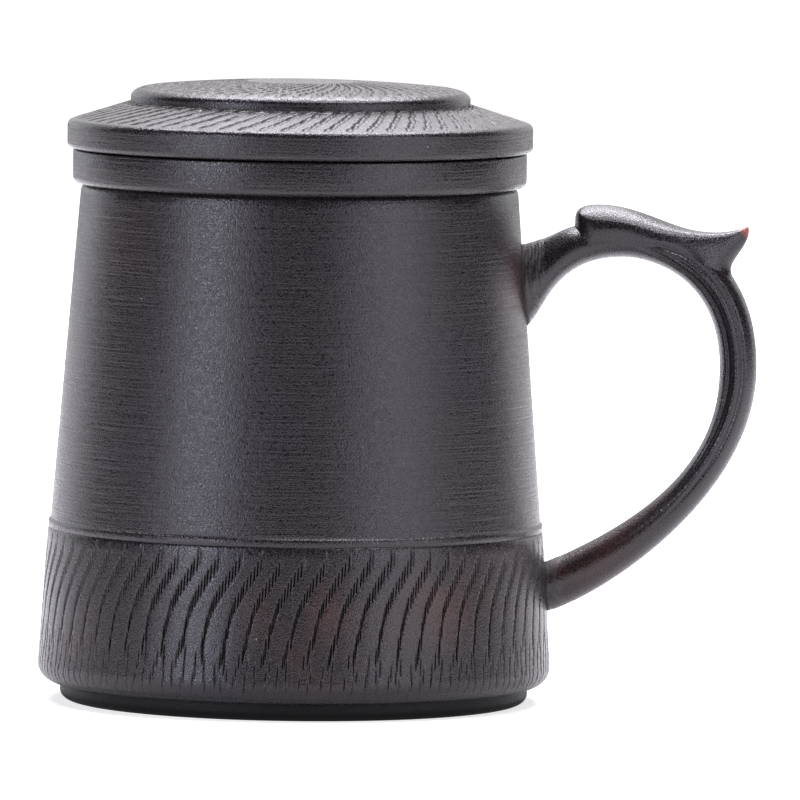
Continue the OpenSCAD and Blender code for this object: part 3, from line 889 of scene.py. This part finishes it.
def leaf_shares(u, v):
    """Shares of the thumb rest's full measures at u across it, from -1 to 1, and v along it:
    how much it is spread, lifted and moved along.

    All are 1 at the middle and 0 at the sides. Across, the spread is nearly square at the
    nose, soft over the head and a parabola beyond it. The lift follows it over the nose and
    turns into a roof with a rounded ridge, and the move along is pointed at the nose."""
    crisp, soft = (1 - np.abs(u) ** 2.6) ** 0.5, smooth(np.abs(u), 0.95, 0.4)
    spread = crisp + (soft - crisp) * smooth(v, 0.15, 0.8)
    spread = spread + (1 - u ** 2 - spread) * smooth(v, 1.1, 1.6)
    ridge = 0.2
    roof = 1 - (np.sqrt(u ** 2 + ridge ** 2) - ridge) / (math.sqrt(1 + ridge ** 2) - ridge)
    lift = spread + (roof - spread) * smooth(v, 0.4, 0.9)
    return spread, lift, lift + ((1 - u ** 2) ** 1.5 - lift) * smooth(v, 0.9, 0.5)


class TEAMUG_OT_lay_thumb_rest(bpy.types.Operator):
    """Lay the leaf of clay over the crown, with its round head and turned-up horn"""
    bl_idname = "teamug.lay_thumb_rest"
    bl_label = "Lay the thumb rest"

    def execute(self, context):
        s = sizes()
        loop = handle_curves(s)
        # Places along the handle of the leaf's nose, head, horn and end, at v = 0, 1, 2 and 3
        stations = np.array([0.65, 0.8, 1.56, 1.7])
        seat, edge = 0.05, 0.1

        def beside(at):
            chord = along(loop.outer, at) - along(loop.inner, at)
            return along(loop.outer, at) + edge * chord / np.linalg.norm(chord)

        start, end = beside(stations[0]), beside(stations[3])
        crest, head, horn = leaf_crest(s, loop, start, end)
        # How far round the handle's section the leaf reaches, in degrees, and how much wider
        # than the handle it spreads, both as curves along v
        reaches = [[14, 40, 72, 98], [98, 106, 96, 72], [72, 58, 42, 24]]
        wide = 1.5 * (s.thumb_width / s.grip_width - 1)
        narrow = s.horn_width / s.grip_width - 0.8
        spreads = [[0.1, wide, wide, wide], [wide, wide, 0.5, narrow + 0.35],
                   [narrow + 0.35, narrow + 0.3, narrow / 2, 0]]
        v = np.linspace(0, 3, 181)
        i = np.minimum(np.floor(v).astype(int), 2)
        station = stations[i] + (stations[i + 1] - stations[i]) * (v - i)
        line = along(crest, v)
        # The nose is a rounded quarter turn up to the head
        quarter = np.clip(v, 0, 1)[:, None] * math.pi / 2
        nose = start + (np.array(head) - start) * np.hstack(
            [(1 - np.cos(quarter)) ** 1.7, np.sin(quarter)])
        rise = np.where(v[:, None] < 1, nose, line) - along(loop.outer, station)
        reach, spread = np.radians(along(reaches, v)), along(spreads, v)
        u = np.sin(np.linspace(-math.pi / 2, math.pi / 2, 91))
        fullness, height, onward = leaf_shares(u, v[:, None])
        beside_tip = smooth(np.abs(u), 0.04, 0.5)
        across = station[:, None] + (softened(v, station) - station)[:, None] * beside_tip
        lift = (seat + edge) * smooth(v, 0.8, 0.15)[:, None] * smooth(np.abs(u), 1, 0.4) + 0.02
        low, _ = handle_skin(s, loop, across, reach[:, None] * u, lift - 1.2)
        top, _ = handle_skin(s, loop, across, -reach[:, None] * u, lift)
        rise = rise * smooth(v, 3, 2.6)[:, None]
        for axis, way, share in ((0, rise[:, 0], onward), (2, rise[:, 1], height)):
            lifted = way[:, None] + (softened(v, way) - way)[:, None] * beside_tip
            top[..., axis] += lifted * share
        top[..., 1] *= 1 + softened(v, spread)[:, None] * fullness
        grid = np.concatenate([low, top], axis=1)
        tip = np.linalg.norm(grid - [horn[0], 0, horn[1]], axis=-1)
        piece = clay_piece("thumb_leaf", grid, "mug", ["thumb_rest"], finishes()["Handle clay"],
                           crease=0, worn=smooth(tip, 2.6, 0.8) * (v[:, None] > 1.93))
        return {"FINISHED"}


# ---- Infuser ----

class TEAMUG_OT_turn_infuser(bpy.types.Operator):
    """Turn the infuser's rim, and finish the pierced basket and strainer"""
    bl_idname = "teamug.turn_infuser"
    bl_label = "Turn the infuser"

    def execute(self, context):
        s = sizes()
        clays = finishes()
        land = s.basket_radius + s.seat_land
        rim = outline(
            [s.basket_radius, s.lid_seat_z], [s.basket_radius, s.mug_height],
            [land, s.mug_height], [land + s.seat_gap, s.mug_height + s.seat_gap],
            arc([s.rim_radius - s.rim_round, s.mug_height + s.seat_gap + s.rim_round],
                s.rim_round, -90, 0, 10),
            arc([s.rim_radius - s.seat_gap, s.lid_seat_z - s.seat_gap], s.seat_gap, 0, 90, 4))
        piece = clay_piece("rim_turned", turned(rim, round_angles(480)), "infuser",
                           ["infuser_rim"], clays["Burnished clay"], ring_rows=True)
        for name in ("infuser_basket", "strainer_floor"):
            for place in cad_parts[name].material_slots:
                place.material = clays["Raw clay"]
        return {"FINISHED"}


# ---- Lid ----

def lid_slope(s):
    """Where the slope starts at the edge's rounding, where it ends at the step, and its angle."""
    centre = np.array([s.lid_radius - s.lid_edge_round,
                       s.lid_edge_z + s.lid_edge_height - s.lid_edge_round])
    foot = np.array([s.dome_radius, dome_surface(s, s.dome_radius) - s.step_height])
    angle = math.degrees(math.atan2(foot[1] - centre[1] - s.lid_edge_round, centre[0] - foot[0]))
    return centre, foot, angle


# The carving of the dome runs on over the step's rounding down to this angle, and the
# rounding's ellipse meets the dome at the other one
CARVED_TO, DOME_FROM = 12, 78


def step_rounding(s, first, last):
    """Rounding of the step's upper edge: part of an ellipse, flatter than it is wide, that
    lies inside the edge and meets the dome at its angle DOME_FROM."""
    centre = s.dome_radius - s.step_run
    join = math.radians(DOME_FROM)
    level = dome_surface(s, centre + s.step_run * math.cos(join)) - s.step_round * math.sin(join)
    return np.array([centre, level]) + arc([0, 0], 1, first, last, 12) * [s.step_run, s.step_round]


class TEAMUG_OT_turn_lid(bpy.types.Operator):
    """Turn the lid, with seats for its two carved rings, and its locating ring"""
    bl_idname = "teamug.turn_lid"
    bl_label = "Turn the lid"

    def execute(self, context):
        s = sizes()
        clays = finishes()
        centre, foot, angle = lid_slope(s)
        edge = arc(centre, s.lid_edge_round, 0, 90 - angle, 12)
        deep = s.skin + 0.05
        land = s.basket_radius + s.seat_land
        rounding = np.array([s.hollow_radius - s.hollow_round, dome_surface(
            s, s.hollow_radius - s.hollow_round) - s.lid_wall - s.hollow_round])
        carved_edge = step_rounding(s, 0, CARVED_TO)
        dish = np.linspace(s.dish_radius, 0, 19)
        ceiling = np.linspace(0, rounding[0], 9)
        shell = outline(
            [s.hollow_radius, s.lid_seat_z], [land - s.seat_gap, s.lid_seat_z],
            [land, s.lid_edge_z],
            arc([s.lid_radius - s.lid_lower_round, s.lid_edge_z + s.lid_lower_round],
                s.lid_lower_round, -90, 0, 10),
            edge, edge[-1] - [0, deep], foot - [0, deep], foot,
            carved_edge, carved_edge[-1] - [0, deep],
            [s.dish_radius, dome_surface(s, s.dish_radius) - deep],
            np.stack([dish, dome_surface(s, s.dish_radius) - s.dish_depth
                      * (1 - (dish / s.dish_radius) ** 2)], 1))
        under = outline(np.stack([ceiling, dome_surface(s, ceiling) - s.lid_wall], 1),
                        arc(rounding, s.hollow_round, 90, 0, 6))
        profile = outline(shell, under)
        dished = (profile[:, 0] < s.dish_radius + 0.01) & (profile[:, 1] > s.dome_z - 2)
        piece = clay_piece("lid_shell", turned(profile, round_angles(480)), "lid", ["lid_cap"],
                           clays["Burnished clay"], ring_rows=True, crease=30,
                           polish=0.25 * dished[:, None])
        low = s.lid_seat_z - s.ring_depth
        ring = outline(
            [s.ring_radius, s.lid_seat_z], [s.hollow_radius, s.lid_seat_z],
            arc([s.hollow_radius + s.edge_round, low + s.edge_round], s.edge_round, 180, 270, 5),
            arc([s.ring_radius - s.edge_round, low + s.edge_round], s.edge_round, 270, 360, 5))
        piece = clay_piece("locating_ring", turned(ring, round_angles(360)), "lid",
                           ["lid_locating_ring"], clays["Raw clay"], ring_rows=True)
        return {"FINISHED"}


def carved_ring(name, s, profile, columns, chains, places, turn, beat, length, lean, notches=0):
    """A thin carved ring of the lid: its top face follows the profile of (radius, height) and
    is lowered by the scoops, and its underside lies a skin's thickness below. A chain's angle
    changes with the radius by `turn`, and its scoops beat to and fro about it. Notches, as
    many as are asked for, line the foot of the step."""
    dice = np.random.default_rng(chains)
    angles = round_angles(columns)
    r = profile[:, 0]
    pitch = TURN * r / chains
    across = angles[None, :] * r[:, None]
    rows = (len(places), chains)
    swing = np.where(np.arange(len(places)) % 2, 1.0, -1.0)[:, None] * beat[:, None]
    jitters = swing + dice.normal(0, 0.07, rows)
    depths = s.scoop_depth * (0.7 + 0.5 * dice.random(rows))
    scoops = nick_rows(across, r, pitch, places, turn * places, depths, jitters, length,
                       s.scoop_width, lean, scooped=True)
    if notches:
        apart = TURN * s.dome_radius / notches
        offset = (across + apart / 2) % apart - apart / 2
        scoops = np.maximum(scoops, np.exp(-(offset / 0.5) ** 2)
                            * smooth(r, s.dome_radius + 1.8, s.dome_radius + 0.6)[:, None])
    fade = smooth(r, r.max(), r.max() - (0.5 if notches else 3.5))
    if not notches:
        fade = fade * smooth(r, r.min(), r.min() + 0.5)
    scoops = scoops * fade[:, None]
    steep = np.hypot(*np.gradient(scoops, r, across[len(r) // 2]))
    top = turned(profile, angles)
    top[..., 2] -= scoops
    below = turned(profile[::-1][[0, -1]] - [0, s.skin], angles)
    grid = np.concatenate([top, below])
    # Steep scoop walls, deep scoops and the notches are darkened with painted shade
    cut = np.clip(1.35 * steep + (scoops > 0.4), 0, 1)
    piece = clay_piece(name, grid, "lid", ["lid_cap"], finishes()["Carved clay"],
                       ring_rows=True, crease=0, cut=np.concatenate([cut, np.zeros((2, columns))]))


class TEAMUG_OT_carve_lid(bpy.types.Operator):
    """Carve the lid's slope and its dome, as two rings laid into their seats"""
    bl_idname = "teamug.carve_lid"
    bl_label = "Carve the lid"

    def execute(self, context):
        s = sizes()
        centre, foot, angle = lid_slope(s)
        edge = arc(centre, s.lid_edge_round, 0, 90 - angle, 12)[-1]
        places = np.arange(s.dome_radius + 1.2, edge[0] - 0.9, 1.4)
        carved_ring("lid_slope_carving", s, straight(foot, edge, 66), 1440, s.slope_chains,
                    places, -0.75 * np.log(places / s.dome_radius), 0.08 + 0 * places, 2.1,
                    -0.6, notches=s.notches)
        rounding = step_rounding(s, DOME_FROM, CARVED_TO)
        r = np.linspace(s.dish_radius, rounding[0, 0], 70)
        profile = outline(np.stack([r, dome_surface(s, r)], 1), rounding)
        places = np.arange(s.dish_radius + 0.9, s.dome_radius - 0.5, s.row_step)
        turn = -0.5 * np.log(places / s.dish_radius) - 0.006 * np.clip(places - 23, 0, None)
        carved_ring("lid_dome_carving", s, profile, 1200, s.dome_chains, places, turn,
                    0.2 * smooth(places, 18, 26), 1.6, -0.5)
        return {"FINISHED"}


# ---- Stage ----

# Name, azimuth in degrees from the front, height, distance, width, tallness, radiance and tint
LAMPS = [
    ("overhead_back", 180, 1.34, 0.57, 1.5, 0.5, 16.5, (1, 0.96, 1.04)),
    ("overhead_right", 60, 1.34, 0.57, 0.6, 0.5, 9.5, (1, 0.96, 1.04)),
    ("overhead", 0, 1.45, 0.15, 0.6, 0.4, 6, (1, 0.96, 1.04)),
    ("high_back", 180, 0.96, 1.07, 0.6, 0.5, 3.3, (1, 0.97, 1.06)),
    ("left_strip", -50, 0.4, 1.36, 0.35, 0.7, 7.0, (0.96, 0.95, 1.13)),
    ("left_edge", -40, 0.4, 1.36, 0.35, 0.7, 2.6, (0.97, 0.95, 1.12)),
    ("right_strip", 40, 0.4, 1.36, 0.35, 0.7, 4.3, (0.98, 0.95, 1.1)),
    ("right_edge", 62, 0.4, 1.36, 0.35, 0.7, 3.4, (1, 0.96, 1.07)),
    ("rim_left", -140, 0.4, 1.36, 0.35, 0.7, 1.3, (0.95, 0.95, 1.17)),
    ("rim_right", 140, 0.4, 1.36, 0.35, 0.7, 0.9, (1, 0.97, 1.05))]


def soft_box(name, azimuth, height, distance, wide, tall, radiance, tint, aim):
    """A soft rectangular lamp, at an azimuth in degrees from the front and facing the aim."""
    lamp = bpy.data.lights.new(name, "AREA")
    lamp.shape = "RECTANGLE"
    lamp.size, lamp.size_y = wide, tall
    lamp.energy = radiance * math.pi * wide * tall
    lamp.color = tint
    turn = math.radians(azimuth)
    where = Vector((distance * math.sin(turn), -distance * math.cos(turn), height))
    holder = bpy.data.objects.new(name, lamp)
    holder.matrix_world = Matrix.Translation(where) @ (
        aim - where).to_track_quat("-Z", "Y").to_matrix().to_4x4()
    holder.visible_camera = False
    bpy.context.scene.collection.objects.link(holder)


class TEAMUG_OT_set_stage(bpy.types.Operator):
    """Lay the pale floor, hang the soft lamps and the white surround, and set up the camera"""
    bl_idname = "teamug.set_stage"
    bl_label = "Set the stage"

    def execute(self, context):
        scene = context.scene
        scene.view_settings.view_transform = "Standard"
        floor = bpy.data.meshes.new("floor")
        reach = 12.0  # half the floor's side, in metres
        floor.from_pydata([(-reach, -reach, 0), (reach, -reach, 0), (reach, reach, 0),
                           (-reach, reach, 0)], [], [(0, 1, 2, 3)])
        pale = bpy.data.materials.new("Pale floor")
        pale.use_nodes = True
        tree = pale.node_tree
        shader = tree.nodes["Principled BSDF"]
        shader.inputs["Base Color"].default_value = (0.8, 0.8, 0.8, 1)
        shader.inputs["Roughness"].default_value = 0.9
        shader.inputs["Specular IOR Level"].default_value = 0.0
        path = add(tree, "ShaderNodeLightPath")
        place = add(tree, "ShaderNodeTexCoord").outputs["Object"]
        away = add(tree, "ShaderNodeVectorMath", [("operation", "LENGTH")], in_0=place).outputs[1]
        white = reckon(tree, "MULTIPLY_ADD", ramp_value(tree, away, 0.15, 0.7), 0.3, 0.7)
        seen = reckon(tree, "MAXIMUM", path.outputs["Is Camera Ray"], reckon(
            tree, "MULTIPLY", path.outputs["Is Glossy Ray"], 0.25))
        tree.links.new(reckon(tree, "MULTIPLY", seen, white), shader.inputs["Emission Strength"])
        shader.inputs["Emission Color"].default_value = (1, 1, 1, 1)
        floor.materials.append(pale)
        ground = bpy.data.objects.new("floor", floor)
        scene.collection.objects.link(ground)

        world = bpy.data.worlds.new("White surround")
        scene.world = world
        world.use_nodes = True
        tree = world.node_tree
        glow = tree.nodes["Background"]
        glow.inputs["Color"].default_value = (1, 1, 1, 1)
        path = add(tree, "ShaderNodeLightPath")
        direction = add(tree, "ShaderNodeTexCoord").outputs["Generated"]
        y = add(tree, "ShaderNodeSeparateXYZ", Vector=direction).outputs["Y"]
        behind = ramp_value(tree, y, 0.55, 0.65)
        clear = reckon(tree, "MAXIMUM", path.outputs["Is Camera Ray"],
                       path.outputs["Is Transmission Ray"])
        mirrored = reckon(tree, "MULTIPLY", path.outputs["Is Glossy Ray"], behind)
        level = reckon(tree, "MAXIMUM", clear, mirrored)
        tree.links.new(level, glow.inputs["Strength"])

        aim = Vector((0.01, 0, 0.06))  # where all lamps point
        for name, azimuth, height, distance, wide, tall, radiance, tint in LAMPS:
            soft_box(name, azimuth, height, distance, wide, tall, radiance, tint, aim)

        view = bpy.data.cameras.new("camera")
        view.lens = 576
        view.sensor_width = 36
        view.clip_end = 50
        middle, roll = 0.0193, 0.013
        target = Vector((middle, 0, 0.0567))
        where = Vector((middle, -2.394, 0.227))
        camera = bpy.data.objects.new("camera", view)
        look = (target - where).to_track_quat("-Z", "Y").to_matrix().to_4x4()
        camera.matrix_world = Matrix.Translation(where) @ look @ Matrix.Rotation(roll, 4, "Z")
        scene.collection.objects.link(camera)
        scene.camera = camera
        return {"FINISHED"}


class TEAMUG_PT_panel(bpy.types.Panel):
    """The sizes, colours and steps of the tea mug"""
    bl_label = "Tea Mug"
    bl_idname = "TEAMUG_PT_panel"
    bl_space_type = "VIEW_3D"
    bl_region_type = "UI"
    bl_category = "Tea Mug"

    def draw(self, context):
        for step in STEPS:
            self.layout.operator(step.bl_idname)
        settings = context.scene.tea_mug
        for part in ("mug", "carving", "infuser", "lid", "handle", "clay"):
            box = self.layout.box()
            box.label(text=part.capitalize())
            group = getattr(settings, part)
            for key in type(group).__annotations__:
                box.prop(group, key)


STEPS = (TEAMUG_OT_throw_mug, TEAMUG_OT_carve_band, TEAMUG_OT_pull_handle,
         TEAMUG_OT_lay_thumb_rest, TEAMUG_OT_turn_infuser, TEAMUG_OT_turn_lid,
         TEAMUG_OT_carve_lid, TEAMUG_OT_set_stage)
CLASSES = (MugSizes, CarvingSizes, InfuserSizes, LidSizes, HandleSizes, ClayColours,
           TeaMugSettings, *STEPS, TEAMUG_PT_panel)


def register():
    """Add the classes and the mug's settings to Blender."""
    for part in CLASSES:
        bpy.utils.register_class(part)
    bpy.types.Scene.tea_mug = PointerProperty(type=TeaMugSettings)


def unregister():
    """Take them away again."""
    del bpy.types.Scene.tea_mug
    for part in reversed(CLASSES):
        bpy.utils.unregister_class(part)


def main():
    """Make every piece and the stage."""
    register()
    for step in STEPS:
        module, name = step.bl_idname.split(".")
        getattr(getattr(bpy.ops, module), name)()
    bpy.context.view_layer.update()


if __name__ == "__main__":
    main()
